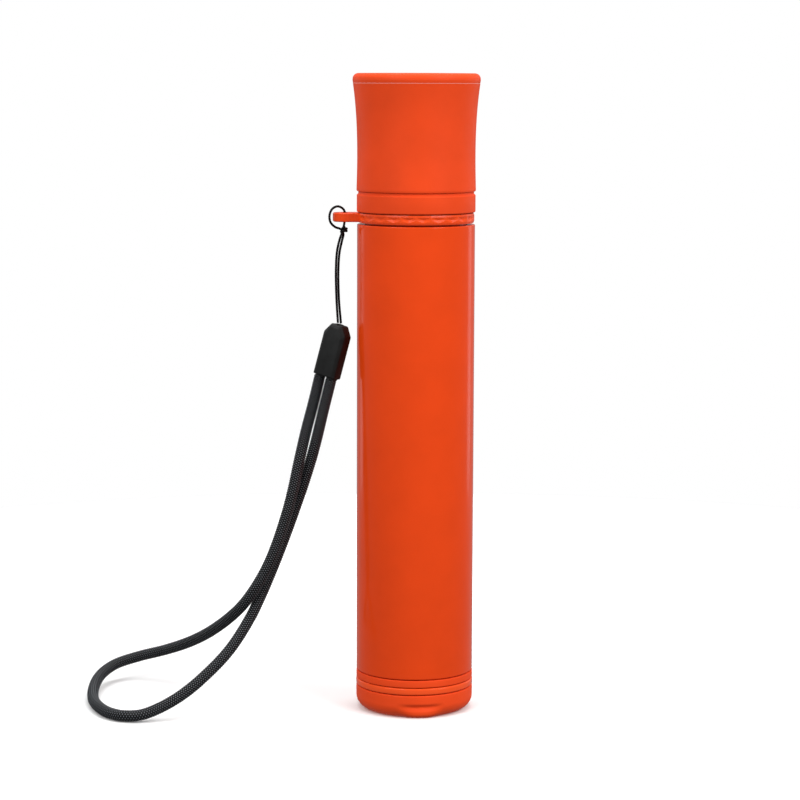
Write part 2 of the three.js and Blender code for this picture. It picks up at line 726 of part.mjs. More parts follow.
const CORD_R = 1.95;
const CORD_ROUTE = [
  [-32.8, 1.0, 115.6],
  [-35.0, 0.9, 106.4],
  [-37.7, 0.5, 96.0],
  [-40.0, -1.0, 85.8],
  [-42.2, -1.9, 75.4],
  [-45.1, -2.2, 64.9],
  [-48.8, -2.4, 54.2],
  [-52.1, -2.4, 47.0],
  [-56.6, -1.5, 39.5],
  [-61.3, 2.2, 33.2],
  [-71.1, 14.5, 23.3],
  [-81.1, 27.0, 15.8],
  [-90.8, 35.0, 11.0],
  [-99.8, 37.5, 8.2],
  [-107.8, 34.0, 6.2],
  [-111.9, 26.0, 4.7],
  [-113.3, 15.0, 3.3],
  [-111.8, -2.2, 2.1],
  [-107.8, -14.5, 2.0],
  [-103.6, -21.4, 2.0],
  [-98.7, -25.2, 2.1],
  [-92.8, -25.7, 2.5],
  [-86.4, -23.2, 4.4],
  [-78.8, -19.5, 8.3],
  [-71.2, -15.0, 14.1],
  [-63.5, -9.0, 21.6],
  [-57.0, -1.8, 31.1],
  [-53.9, 1.6, 37.3],
  [-50.9, 2.3, 44.2],
  [-46.7, 2.2, 54.8],
  [-42.8, 2.1, 65.4],
  [-39.2, 1.9, 75.9],
  [-35.9, 1.2, 86.4],
  [-34.0, -0.3, 93.5],
  [-31.5, -1.2, 104.1],
  [-28.9, -1.2, 114.6],
];

add('lanyard_ring', lanyardRing(), ORANGE_GLOSS);
add('tether_string', cordAlong(STRING_ROUTE, STRING_R, 8, 46), BLACK_CORD);
add('cord_clasp', cordClasp(), BLACK_PLASTIC);
add('wrist_cord', cordAlong(CORD_ROUTE, CORD_R, 8, 56), BLACK_CORD);

export default device;
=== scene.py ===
"""Looks of the pocket rescue tube: fine pieces, materials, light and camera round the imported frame.

Lengths in this file are millimetres, turned into metres where a mesh is made.
"""
import math

import bmesh
import bpy
import numpy as np
from mathutils import Matrix, Vector


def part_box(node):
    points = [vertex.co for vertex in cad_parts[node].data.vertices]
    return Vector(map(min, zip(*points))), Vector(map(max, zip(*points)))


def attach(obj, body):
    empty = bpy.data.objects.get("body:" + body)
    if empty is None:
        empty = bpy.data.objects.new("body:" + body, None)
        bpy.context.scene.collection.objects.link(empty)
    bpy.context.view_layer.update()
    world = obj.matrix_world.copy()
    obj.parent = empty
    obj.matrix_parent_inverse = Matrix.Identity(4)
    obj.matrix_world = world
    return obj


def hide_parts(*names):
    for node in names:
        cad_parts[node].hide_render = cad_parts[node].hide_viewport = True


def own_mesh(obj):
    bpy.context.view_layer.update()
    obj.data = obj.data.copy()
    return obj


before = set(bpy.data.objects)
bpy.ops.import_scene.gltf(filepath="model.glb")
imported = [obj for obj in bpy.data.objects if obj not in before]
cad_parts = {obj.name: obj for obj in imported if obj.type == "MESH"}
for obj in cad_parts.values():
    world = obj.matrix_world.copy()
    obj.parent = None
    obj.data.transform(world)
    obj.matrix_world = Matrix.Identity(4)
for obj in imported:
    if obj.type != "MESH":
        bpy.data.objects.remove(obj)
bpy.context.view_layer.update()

MM = 0.001

# ---- sizes, from the frame ---------------------------------------------------------------------


def low_z(node):
    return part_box(node)[0].z / MM


def high_z(node):
    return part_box(node)[1].z / MM


def radius(node):
    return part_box(node)[1].x / MM


BODY_R = radius("body_tube")
BODY_WALL = 2.7
BORE_R = BODY_R - BODY_WALL
BASE_R = radius("base_band")
NECK_R = radius("neck_sleeve")
NECK_WALL = 2.0
NECK_BORE_R = NECK_R - NECK_WALL
CAP_BORE_R = NECK_R + 0.9
CAP_SHELL_R = radius("cap_shell")
CAP_SKIN_BORE_R = CAP_SHELL_R + 0.3
PLUG_BORE_R = 14.7
HEIGHT = high_z("cap_end_disc")
HAIRLINE = 0.04

# ---- routes of the cords, as in the CAD model --------------------------------------------------
STRING_R = 0.4
STRING_ROUTE = [
    (-26.6, -0.5, 133.9), (-27.1, -0.5, 142.0), (-27.3, -0.5, 152.0), (-26.9, -0.6, 158.5),
    (-26.0, -0.7, 162.5), (-25.0, -0.8, 165.4), (-24.5, -0.6, 167.6), (-24.2, -0.3, 169.8),
    (-24.2, -0.3, 171.4), (-24.9, -0.6, 172.9), (-26.7, -1.4, 173.75), (-28.5, -2.1, 172.9),
    (-29.4, -2.4, 170.8), (-29.1, -2.2, 168.4), (-27.5, -1.2, 166.7), (-25.7, 0.2, 165.9),
    (-24.8, 0.9, 164.3), (-25.3, 1.0, 161.8), (-26.1, 0.9, 158.0), (-26.5, 0.7, 152.0),
    (-26.3, 0.5, 142.0), (-25.6, 0.5, 133.6),
]
CORD_R = 1.95
CORD_ROUTE = [
    (-32.8, 1.0, 115.6), (-35.0, 0.9, 106.4), (-37.7, 0.5, 96.0), (-40.0, -1.0, 85.8),
    (-42.2, -1.9, 75.4), (-45.1, -2.2, 64.9), (-48.8, -2.4, 54.2), (-52.1, -2.4, 47.0),
    (-56.6, -1.5, 39.5), (-61.3, 2.2, 33.2), (-71.1, 14.5, 23.3), (-81.1, 27.0, 15.8),
    (-90.8, 35.0, 11.0), (-99.8, 37.5, 8.2), (-107.8, 34.0, 6.2), (-111.9, 26.0, 4.7),
    (-113.3, 15.0, 3.3), (-111.8, -2.2, 2.1), (-107.8, -14.5, 2.0), (-103.6, -21.4, 2.0),
    (-98.7, -25.2, 2.1), (-92.8, -25.7, 2.5), (-86.4, -23.2, 4.4), (-78.8, -19.5, 8.3),
    (-71.2, -15.0, 14.1), (-63.5, -9.0, 21.6), (-57.0, -1.8, 31.1), (-53.9, 1.6, 37.3),
    (-50.9, 2.3, 44.2), (-46.7, 2.2, 54.8), (-42.8, 2.1, 65.4), (-39.2, 1.9, 75.9),
    (-35.9, 1.2, 86.4), (-34.0, -0.3, 93.5), (-31.5, -1.2, 104.1), (-28.9, -1.2, 114.6),
]

# ---- materials ---------------------------------------------------------------------------------


def linear(red, green, blue):
    """A colour given as 0 to 255 screen values, in linear light."""
    def channel(value):
        share = value / 255
        return share / 12.92 if share <= 0.04045 else ((share + 0.055) / 1.055) ** 2.4
    return (channel(red), channel(green), channel(blue), 1.0)


def scaled(colour, factor):
    return tuple(min(1.0, c * factor) for c in colour[:3]) + (1.0,)


class Look:
    """One procedural material, built up layer by layer on a Principled shader."""

    def __init__(self, name, **sockets):
        self.material = bpy.data.materials.new(name)
        self.material.use_nodes = True
        self.nodes = self.material.node_tree.nodes
        self.links = self.material.node_tree.links
        self.shader = self.nodes["Principled BSDF"]
        self.place = self.nodes.new("ShaderNodeTexCoord")
        self.height = None
        for socket, value in sockets.items():
            self.shader.inputs[socket.replace("_", " ")].default_value = value

    def noise(self, scale, detail=3.0, stretch=(1, 1, 1), roughness=0.5):
        """Noise whose features are 1/scale metres across, stretched along the axes."""
        mapping = self.nodes.new("ShaderNodeMapping")
        mapping.inputs["Scale"].default_value = stretch
        self.links.new(self.place.outputs["Object"], mapping.inputs["Vector"])
        texture = self.nodes.new("ShaderNodeTexNoise")
        texture.inputs["Scale"].default_value = scale
        texture.inputs["Detail"].default_value = detail
        texture.inputs["Roughness"].default_value = roughness
        self.links.new(mapping.outputs["Vector"], texture.inputs["Vector"])
        return texture.outputs["Fac"]

    def ranged(self, value, low, high, from_low=0.3, from_high=0.7):
        node = self.nodes.new("ShaderNodeMapRange")
        node.inputs["From Min"].default_value = from_low
        node.inputs["From Max"].default_value = from_high
        node.inputs["To Min"].default_value = low
        node.inputs["To Max"].default_value = high
        self.links.new(value, node.inputs["Value"])
        return node.outputs["Result"]

    def colours(self, share, first, second):
        node = self.nodes.new("ShaderNodeMix")
        node.data_type = "RGBA"
        node.inputs["A"].default_value = first
        node.inputs["B"].default_value = second
        self.links.new(share, node.inputs["Factor"])
        self.links.new(node.outputs["Result"], self.shader.inputs["Base Color"])
        return self

    def gloss(self, share):
        self.links.new(share, self.shader.inputs["Roughness"])
        return self

    def bump(self, value, depth):
        """Adds a bump of that depth in millimetres, on top of the bumps added before."""
        node = self.nodes.new("ShaderNodeBump")
        node.inputs["Distance"].default_value = depth * MM
        self.links.new(value, node.inputs["Height"])
        if self.height is not None:
            self.links.new(self.height, node.inputs["Normal"])
        self.height = node.outputs["Normal"]
        self.links.new(self.height, self.shader.inputs["Normal"])
        return self


def gloss_orange(name, colour, roughness):
    look = Look(name, IOR=1.45, Specular_IOR_Level=0.2)
    look.colours(look.ranged(look.noise(90), 0, 1), scaled(colour, 0.97), scaled(colour, 1.03))
    scratches = look.noise(1500, 4, (1, 1, 0.06), roughness=0.7)
    look.gloss(look.ranged(scratches, roughness, roughness + 0.1, 0.45, 0.75))
    look.bump(look.noise(120, 2), 0.03)
    look.bump(look.noise(4200, 2), 0.0025)
    return look.material


def soft_orange(name, colour, roughness):
    look = Look(name, IOR=1.45, Specular_IOR_Level=0.15)
    look.colours(look.ranged(look.noise(70, 4), 0, 1), scaled(colour, 0.95), scaled(colour, 1.05))
    look.gloss(look.ranged(look.noise(260, 4), roughness - 0.05, roughness + 0.07))
    look.bump(look.noise(150, 2), 0.035)
    look.bump(look.noise(5200, 3), 0.012)
    return look.material


def black_moulding(name):
    look = Look(name, IOR=1.5, Specular_IOR_Level=0.22)
    dark = linear(24, 25, 25)
    look.colours(look.ranged(look.noise(300, 4), 0, 1), scaled(dark, 0.75), scaled(dark, 1.25))
    look.gloss(look.ranged(look.noise(900, 4), 0.42, 0.6))
    look.bump(look.noise(6500, 3), 0.012)
    return look.material


def black_yarn(name, fibre_scale, crown_highlight):
    """Black yarn painted lighter on the crowns of its strands: a painted highlight on the crowns, and
    painted shade in the near-black valleys.
    """
    look = Look(name, IOR=1.5, Specular_IOR_Level=0.12)
    crown = look.nodes.new("ShaderNodeAttribute")
    crown.attribute_name = "crown"
    # Painted highlight and shade: the colour runs from near-black in the valleys to the given grey on the
    # crowns, by how far each point stands out.
    look.colours(look.ranged(crown.outputs["Fac"], 0, 1, 0.6, 1.0), linear(2, 2, 3), crown_highlight)
    look.gloss(look.ranged(look.noise(fibre_scale, 3), 0.24, 0.42))
    look.bump(look.noise(fibre_scale, 3), 0.03)
    return look.material


def rubber(name):
    look = Look(name, IOR=1.5)
    dark = linear(34, 34, 34)
    look.colours(look.ranged(look.noise(400, 3), 0, 1), scaled(dark, 0.8), scaled(dark, 1.2))
    look.gloss(look.ranged(look.noise(1200, 3), 0.45, 0.65))
    look.bump(look.noise(5000, 2), 0.006)
    return look.material


def nylon(name):
    look = Look(name, IOR=1.5, Subsurface_Weight=0.08, Subsurface_Scale=0.002)
    grey = linear(196, 198, 200)
    look.colours(look.ranged(look.noise(120, 4), 0, 1), scaled(grey, 0.93), scaled(grey, 1.04))
    look.gloss(look.ranged(look.noise(700, 3), 0.35, 0.5))
    look.bump(look.noise(3500, 2), 0.006)
    return look.material


def metal(name, colour, roughness, grain):
    look = Look(name, Metallic=1.0)
    look.colours(look.ranged(look.noise(200, 3), 0, 1), scaled(colour, 0.93), scaled(colour, 1.05))
    turned_grain = look.noise(900, 4, grain)
    look.gloss(look.ranged(turned_grain, roughness - 0.05, roughness + 0.1))
    look.bump(turned_grain, 0.004)
    return look.material


def gloss_red(name):
    look = Look(name, Coat_Weight=0.3, Coat_Roughness=0.08, IOR=1.5)
    red = linear(190, 26, 30)
    look.colours(look.ranged(look.noise(200, 3), 0, 1), scaled(red, 0.93), scaled(red, 1.05))
    look.gloss(look.ranged(look.noise(900, 3), 0.25, 0.36))
    look.bump(look.noise(4000, 2), 0.004)
    return look.material


def coated_fabric(name):
    """Thin nylon with a rubbery coating: a fine plain weave of crossing threads."""
    look = Look(name, Sheen_Weight=0.2, Sheen_Roughness=0.4, IOR=1.45)
    colour = linear(247, 128, 30)
    look.colours(look.ranged(look.noise(300, 4), 0, 1), scaled(colour, 0.86), scaled(colour, 1.06))
    look.gloss(look.ranged(look.noise(700, 3), 0.45, 0.62))
    for axis in ("X", "Y"):
        wave = look.nodes.new("ShaderNodeTexWave")
        wave.bands_direction = axis
        wave.inputs["Scale"].default_value = 900
        wave.inputs["Distortion"].default_value = 0.4
        look.links.new(look.place.outputs["UV"], wave.inputs["Vector"])
        look.bump(wave.outputs["Fac"], 0.012)
    look.bump(look.noise(500, 3), 0.06)
    return look.material


ORANGE = linear(232, 70, 18)
GLOSS = gloss_orange("glossy_orange", ORANGE, 0.14)
TRIM = gloss_orange("trim_orange", linear(244, 84, 34), 0.12)
RING = gloss_orange("ring_orange", linear(240, 76, 24), 0.26)
SOFT = soft_orange("soft_orange", linear(238, 74, 27), 0.5)
RUBBER = rubber("seal_rubber")
NYLON = nylon("natural_nylon")
BLACK = black_moulding("black_moulding")
STEEL = metal("plain_steel", linear(205, 207, 210), 0.28, (1, 1, 0.1))
BRASS = metal("turned_brass", linear(214, 178, 102), 0.25, (0.1, 0.1, 1))
RED = gloss_red("glossy_red")
FABRIC = coated_fabric("coated_fabric")
# The last colour of each yarn is the painted highlight on its strand crowns.
CORD_YARN = black_yarn("braided_polyester", 4200, linear(134, 138, 144))
STRING_YARN = black_yarn("twisted_nylon", 9000, linear(28, 29, 32))

# ---- mesh helpers ------------------------------------------------------------------------------
SHARP = math.radians(32)


def finished(name, mesh, body, slot, material, nodes=()):
    """Puts a mesh in the scene, smooth but for its sharp edges, on its CAD body."""
    mesh.validate()
    mesh.shade_smooth()
    mesh.set_sharp_from_angle(angle=SHARP)
    piece = bpy.data.objects.new(name, mesh)
    bpy.context.scene.collection.objects.link(piece)
    piece.data.materials.append(material)
    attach(piece, body)
    if nodes:
        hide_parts(*nodes)
    return piece


def filleted(outline, closed, steps=5):
    """Rounds each corner (r, z, radius) of an outline. A corner without a radius stays sharp."""
    points = []
    count = len(outline)
    for i, corner in enumerate(outline):
        here = Vector(corner[:2])
        inside = closed or 0 < i < count - 1
        if len(corner) < 3 or not inside:
            points.append(here)
            continue
        to_last = (Vector(outline[i - 1][:2]) - here).normalized()
        to_next = (Vector(outline[(i + 1) % count][:2]) - here).normalized()
        half = math.acos(max(-1.0, min(1.0, to_last.dot(to_next)))) / 2
        reach = corner[2] / math.tan(half)
        centre = here + (to_last + to_next).normalized() * corner[2] / math.sin(half)
        first = here + to_last * reach - centre
        last = here + to_next * reach - centre
        for k in range(steps + 1):
            points.append(centre + first.lerp(last, k / steps).normalized() * corner[2])
    return points


def surface_grid(mesh_name, rings, closed_profile, poles=False):
    """A mesh from rings of points: rings[i][k] joins to rings[i + 1][k], and the last to the first.

    With poles, the first and last point of every ring are one shared point.
    """
    mesh = bmesh.new()
    uv = mesh.loops.layers.uv.new("UVMap")
    count = len(rings[0])
    rows = []
    for ring in rings:
        if poles and rows:
            middle = [mesh.verts.new(Vector(p) * MM) for p in ring[1:-1]]
            rows.append([rows[0][0], *middle, rows[0][-1]])
        else:
            rows.append([mesh.verts.new(Vector(p) * MM) for p in ring])
    turns = len(rows)
    for i in range(turns):
        ahead = rows[(i + 1) % turns]
        for k in range(count if closed_profile else count - 1):
            up = (k + 1) % count
            corners = [(rows[i][k], i, k), (ahead[k], i + 1, k)]
            corners += [(ahead[up], i + 1, k + 1), (rows[i][up], i, k + 1)]
            unique = [c for n, c in enumerate(corners) if c[0] is not corners[n - 1][0]]
            face = mesh.faces.new([c[0] for c in unique])
            for loop, (_, across, along) in zip(face.loops, unique):
                loop[uv].uv = (across / turns, along / count)
    bmesh.ops.recalc_face_normals(mesh, faces=mesh.faces)
    data = bpy.data.meshes.new(mesh_name)
    mesh.to_mesh(data)
    mesh.free()
    return data


def turned(name, outline, body, slot, material, nodes=(), centre=(0, 0), segments=160, shape=None):
    """A piece turned about a vertical axis at centre, from an outline of (r, z) or (r, z, fillet).

    shape(r, z, angle) may move a point of the outline at each angle.
    """
    closed = outline[0][0] > 0
    profile = filleted(outline, closed)
    rings = []
    for i in range(segments):
        angle = 2 * math.pi * i / segments
        ring = []
        for point in profile:
            r, z = shape(point.x, point.y, angle) if shape else point
            ring.append((centre[0] + r * math.cos(angle), centre[1] + r * math.sin(angle), z))
        rings.append(ring)
    mesh = surface_grid(name, rings, closed, poles=not closed)
    return finished(name, mesh, body, slot, material, nodes)


def smooth_route(route, spacing):
    """Points on a centripetal Catmull-Rom curve through a route, as the CAD model's cords follow."""
    knots = [np.array(p, float) for p in route]
    knots = [2 * knots[0] - knots[1], *knots, 2 * knots[-1] - knots[-2]]
    fine = []
    for p0, p1, p2, p3 in zip(knots, knots[1:], knots[2:], knots[3:]):
        gaps = [max(1e-6, np.linalg.norm(b - a) ** 0.5) for a, b in ((p0, p1), (p1, p2), (p2, p3))]
        t0, t1 = 0.0, gaps[0]
        t2 = t1 + gaps[1]
        t3 = t2 + gaps[2]
        for t in np.linspace(t1, t2, 40, endpoint=False):
            a1 = (t1 - t) / (t1 - t0) * p0 + (t - t0) / (t1 - t0) * p1
            a2 = (t2 - t) / (t2 - t1) * p1 + (t - t1) / (t2 - t1) * p2
            a3 = (t3 - t) / (t3 - t2) * p2 + (t - t2) / (t3 - t2) * p3
            b1 = (t2 - t) / (t2 - t0) * a1 + (t - t0) / (t2 - t0) * a2
            b2 = (t3 - t) / (t3 - t1) * a2 + (t - t1) / (t3 - t1) * a3
            fine.append((t2 - t) / (t2 - t1) * b1 + (t - t1) / (t2 - t1) * b2)
    fine.append(knots[-2])
    fine = np.array(fine)
    lengths = np.concatenate([[0], np.cumsum(np.linalg.norm(np.diff(fine, axis=0), axis=1))])
    count = max(2, round(lengths[-1] / spacing))
    stations = np.linspace(0, lengths[-1], count + 1)
    return np.stack([np.interp(stations, lengths, fine[:, k]) for k in range(3)], axis=1)


def carried_frames(points):
    """Two directions across a path at each of its points, carried along it without twisting."""
    tangents = np.gradient(points, axis=0)
    tangents /= np.linalg.norm(tangents, axis=1)[:, None]
    side = np.cross(tangents[0], (0.0, 1.0, 0.0))
    sides = []
    for tangent in tangents:
        side = side - tangent * side.dot(tangent)
        side = side / np.linalg.norm(side)
        sides.append(side)
    sides = np.array(sides)
    return sides, np.cross(tangents, sides)


def tube_along(name, points, around, radius_at):
    """A closed tube along points. radius_at(distance, angle) works on whole arrays of them.

    Each vertex keeps how far it stands out, 0 to 1, as the attribute that black_yarn reads.
    """
    sides, ups = carried_frames(points)
    steps = np.linalg.norm(np.diff(points, axis=0), axis=1)
    distance = np.concatenate([[0], np.cumsum(steps)])
    angle = np.linspace(0, 2 * math.pi, around, endpoint=False)
    radii = radius_at(distance[:, None], angle[None, :])
    outward = (np.cos(angle)[None, :, None] * sides[:, None, :]
               + np.sin(angle)[None, :, None] * ups[:, None, :])
    skin = points[:, None, :] + radii[:, :, None] * outward
    rows = len(points)
    vertices = np.concatenate([skin.reshape(-1, 3), points[:1], points[-1:]]) * MM
    index = np.arange(rows * around).reshape(rows, around)
    beside = np.roll(index, -1, axis=1)
    quads = np.stack([index[:-1], beside[:-1], beside[1:], index[1:]], axis=-1).reshape(-1, 4)
    faces = quads.tolist()
    first, last = rows * around, rows * around + 1
    faces += [[first, beside[0, k], index[0, k]] for k in range(around)]
    faces += [[last, index[-1, k], beside[-1, k]] for k in range(around)]
    mesh = bpy.data.meshes.new(name)
    mesh.from_pydata(vertices.tolist(), [], faces)
    crowns = mesh.attributes.new("crown", "FLOAT", "POINT")
    crown = (radii - radii.min()) / (np.ptp(radii) + 1e-9)
    crowns.data.foreach_set("value", np.concatenate([crown.ravel(), [0.0, 0.0]]).astype(np.float32))
    mesh.update()
    solid = bmesh.new()
    solid.from_mesh(mesh)
    bmesh.ops.recalc_face_normals(solid, faces=solid.faces)
    solid.to_mesh(mesh)
    solid.free()
    return mesh


# ---- camera ------------------------------------------------------------------------------------


def make_camera():
    data = bpy.data.cameras.new("camera")
    data.sensor_width = 36.0
    data.lens = 112.1
    data.clip_start = 0.05
    data.clip_end = 20.0
    camera = bpy.data.objects.new("camera", data)
    bpy.context.scene.collection.objects.link(camera)
    camera.location = (0.0, -0.8498, 0.2154)
    camera.rotation_euler = (math.radians(82.75), math.radians(-0.198), math.radians(0.380))
    bpy.context.scene.camera = camera


# ---- lanyard -----------------------------------------------------------------------------------
BRAID_STRANDS = 8
BRAID_PITCH = 0.85
BRAID_VALLEY = 0.9
BRAID_RELIEF = 0.13
CLASP_TOP = Vector((-25.9, 0.0, 133.2))
CLASP_LENGTH = 18.4
CLASP_WIDTH = 8.6
CLASP_THICK = 6.2
CLASP_TURN = math.radians(-28)
CLASP_TILT = math.radians(14.5)


def braid_radius(distance, angle):
    """A braid: strands wind both ways, and it stands out where the middles of two of them cross."""
    right = angle * BRAID_STRANDS / (2 * math.pi) + distance / BRAID_PITCH
    left = angle * BRAID_STRANDS / (2 * math.pi) - distance / BRAID_PITCH
    off_right = np.abs(right - np.floor(right) - 0.5) * 2
    off_left = np.abs(left - np.floor(left) - 0.5) * 2
    crown = (1 - off_right ** 2) * (1 - off_left ** 2)
    return CORD_R * (BRAID_VALLEY + BRAID_RELIEF * crown)


def make_wrist_cord():
    points = smooth_route(CORD_ROUTE, BRAID_PITCH / 5)
    mesh = tube_along("wrist_cord_braid", points, 6 * BRAID_STRANDS, braid_radius)
    piece = finished("wrist_cord_braid", mesh, "lanyard", "black_cord", CORD_YARN, ["wrist_cord"])
    return piece, points


def twisted_radius(distance, angle):
    """Three plies twisted together."""
    lay = 2.2
    ply = np.abs(np.cos(1.5 * (angle - 2 * math.pi * distance / lay)))
    return STRING_R * (0.92 + 0.13 * ply)


def make_string():
    points = smooth_route(STRING_ROUTE, 0.12)
    mesh = tube_along("tether_string_twist", points, 18, twisted_radius)
    piece = finished("tether_string_twist", mesh, "lanyard", "black_cord", STRING_YARN,
                     ["tether_string"])
    return piece, points


def make_knot():
    """The overhand knot that closes the hitch: one and a half turns round both strands."""
    centre = Vector((-24.6, 0.0, 165.6))
    turns, steps = 1.6, 48
    points = []
    for i in range(steps + 1):
        angle = 2 * math.pi * turns * i / steps
        drop = (i / steps - 0.5) * 1.3
        points.append((centre.x + 0.95 * math.cos(angle), centre.y + 1.3 * math.sin(angle),
                       centre.z + drop + 0.35 * math.cos(angle)))
    tail = [(points[-1][0] + 0.5, points[-1][1] - 0.5, points[-1][2] + 0.5),
            (points[-1][0] + 1.2, points[-1][1] - 0.7, points[-1][2] + 1.0)]
    path = smooth_route(points[::4] + tail, 0.15)
    mesh = tube_along("tether_knot", path, 14, twisted_radius)
    return finished("tether_knot", mesh, "lanyard", "black_cord", STRING_YARN)


def clasp_matrix():
    turn = Matrix.Rotation(CLASP_TURN, 4, "Z")
    tilt = Matrix.Rotation(CLASP_TILT, 4, "Y")
    return Matrix.Translation(CLASP_TOP * MM) @ tilt @ turn


def make_clasp():
    """A block with cut shoulders and a chamfer round its two flat faces."""
    half, shoulder, chamfer = CLASP_WIDTH / 2, 2.2, 1.15
    outline = [(-half, -CLASP_LENGTH), (half, -CLASP_LENGTH), (half, -shoulder * 1.5),
               (half - shoulder, 0), (-half + shoulder, 0), (-half, -shoulder * 1.5)]
    inner = [(x * (1 - chamfer / half), max(z, -CLASP_LENGTH) - chamfer * (z > -CLASP_LENGTH))
             for x, z in outline]
    inner[0] = (inner[0][0], -CLASP_LENGTH + 0.35)
    inner[1] = (inner[1][0], -CLASP_LENGTH + 0.35)
    mesh = bmesh.new()
    depth = CLASP_THICK / 2
    levels = [(inner, -depth), (outline, -depth + chamfer * 0.8), (outline, -0.09),
              (outline, 0.09), (outline, depth - chamfer * 0.8), (inner, depth)]
    loops = [[mesh.verts.new(Vector((x, y, z)) * MM) for x, z in points] for points, y in levels]
    for a, b in zip(loops, loops[1:]):
        for k in range(len(a)):
            mesh.faces.new([a[k], a[(k + 1) % 6], b[(k + 1) % 6], b[k]])
    mesh.faces.new(loops[0])
    mesh.faces.new(reversed(loops[-1]))
    bmesh.ops.recalc_face_normals(mesh, faces=mesh.faces)
    sharp = [e for e in mesh.edges if e.calc_face_angle(0) > math.radians(12)]
    bmesh.ops.bevel(mesh, geom=sharp, offset=0.35 * MM, segments=3, profile=0.5, affect="EDGES")
    mesh.transform(clasp_matrix())
    data = bpy.data.meshes.new("clasp_body")
    mesh.to_mesh(data)
    mesh.free()
    return finished("clasp_body", data, "lanyard", "black_plastic", BLACK, ["cord_clasp"])


def make_clasp_trim():
    """A collar round each hole of the clasp."""
    pieces = []
    for name, x, z, outer, inner, tall in (
            ("clasp_socket_left", -2.15, -CLASP_LENGTH, 2.0, 1.6, 0.25),
            ("clasp_socket_right", 2.15, -CLASP_LENGTH, 2.0, 1.6, 0.25),
            ("clasp_string_hole", 0.0, 0.0, 1.25, 0.9, 0.2)):
        outline = [(inner, -tall), (outer, -tall), (outer, tall, 0.1), (inner, tall, 0.1)]
        piece = turned(name, outline, "lanyard", "black_plastic", BLACK, segments=48)
        place = clasp_matrix() @ Matrix.Translation(Vector((x, 0, z)) * MM)
        piece.data.transform(place)
        pieces.append(piece)
    return pieces


def make_lanyard():
    clasp = make_clasp()
    trim = make_clasp_trim()
    string, string_points = make_string()
    knot = make_knot()
    cord, cord_points = make_wrist_cord()


def bevelled(node, width, material, slot_name=None, angle=18):
    """A CAD node that is kept: its edges are eased by a modifier, and it gets a material."""
    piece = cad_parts[node]
    ease = piece.modifiers.new("eased_edges", "BEVEL")
    ease.width = width * MM
    ease.segments = 2
    ease.limit_method = "ANGLE"
    ease.angle_limit = math.radians(angle)
    ease.harden_normals = False
    piece.data.materials.clear()
    piece.data.materials.append(material)
    return piece


# ---- base --------------------------------------------------------------------------------------
BASE_SEAL_WIRE = 0.55
LIP_TURN = math.radians(-83)
LIP_FLAT = math.radians(5)
LIP_FADE = math.radians(27)
FOOT_CORNER = 4.4
FOOT_FLOOR = 2.6
FOOT_BORE_R = NECK_R + 0.3
EDGE_TOP = 6.2
LIP_EDGE = [(15.2, 0.0), (18.6, 0.1, 1.0), (19.85, 1.0, 1.0), (19.95, 2.3, 1.4), (19.25, 4.0, 0.6),
            (20.15, 5.0, 0.7), (20.15, EDGE_TOP)]


def eased(share):
    share = min(1.0, max(0.0, share))
    return share * share * (3 - 2 * share)


def lip_share(angle):
    """1 across the thumb lip, fading to 0 on both sides of it."""
    off = abs((angle - LIP_TURN + math.pi) % (2 * math.pi) - math.pi)
    return 1 - eased((off - LIP_FLAT) / (LIP_FADE - LIP_FLAT))


def resampled(points, count):
    """The same line as evenly spaced points."""
    line = np.array([tuple(p) for p in points], float)
    lengths = np.concatenate([[0], np.cumsum(np.linalg.norm(np.diff(line, axis=0), axis=1))])
    stations = np.linspace(0, lengths[-1], count)
    return [(np.interp(s, lengths, line[:, 0]), np.interp(s, lengths, line[:, 1])) for s in stations]


def make_foot():
    """The round-cornered foot, whose corner is filled by a thumb lip below a scooped crease."""
    base_r, top = BASE_R, high_z("base_cup")
    bore = FOOT_BORE_R
    count = 40
    corner_centre = base_r - FOOT_CORNER
    arc = [(corner_centre + FOOT_CORNER * math.sin(a), FOOT_CORNER - FOOT_CORNER * math.cos(a))
           for a in np.linspace(0, math.pi / 2, 30)]
    plain = resampled([*arc, (base_r, EDGE_TOP)], count)
    lip = resampled(filleted(LIP_EDGE, False), count)
    above = filleted([(base_r, EDGE_TOP), (base_r, top, 0.35), (bore, top, 0.2), (bore, FOOT_FLOOR),
                      (0, FOOT_FLOOR)], False)
    rings = []
    segments = 240
    for i in range(segments):
        angle = 2 * math.pi * i / segments
        share = lip_share(angle)
        outline = [(0.0, 0.0), (8.0, 0.0)]
        outline += [(a[0] + (b[0] - a[0]) * share, a[1] + (b[1] - a[1]) * share)
                    for a, b in zip(plain, lip)]
        outline += [tuple(p) for p in above[1:]]
        rings.append([(r * math.cos(angle), r * math.sin(angle), z) for r, z in outline])
    mesh = surface_grid("foot", rings, False, poles=True)
    return finished("foot", mesh, "base", "orange_soft", SOFT, ["base_cup"])


def make_base_rings():
    bore = FOOT_BORE_R
    for name, node, material, slot, edge, swell in (
            ("trim_ring", "base_trim_ring", TRIM, "orange_trim", 0.45, 0.05),
            ("band", "base_band", SOFT, "orange_soft", 0.25, 0.0)):
        low, high = low_z(node), high_z(node)
        middle = (low + high) / 2
        outer = BASE_R + swell - 0.02
        turned(name, [(bore, low), (outer, low, edge), (outer + swell, middle), (outer, high, edge),
                      (bore, high)], "base", slot, material, [node], segments=240)


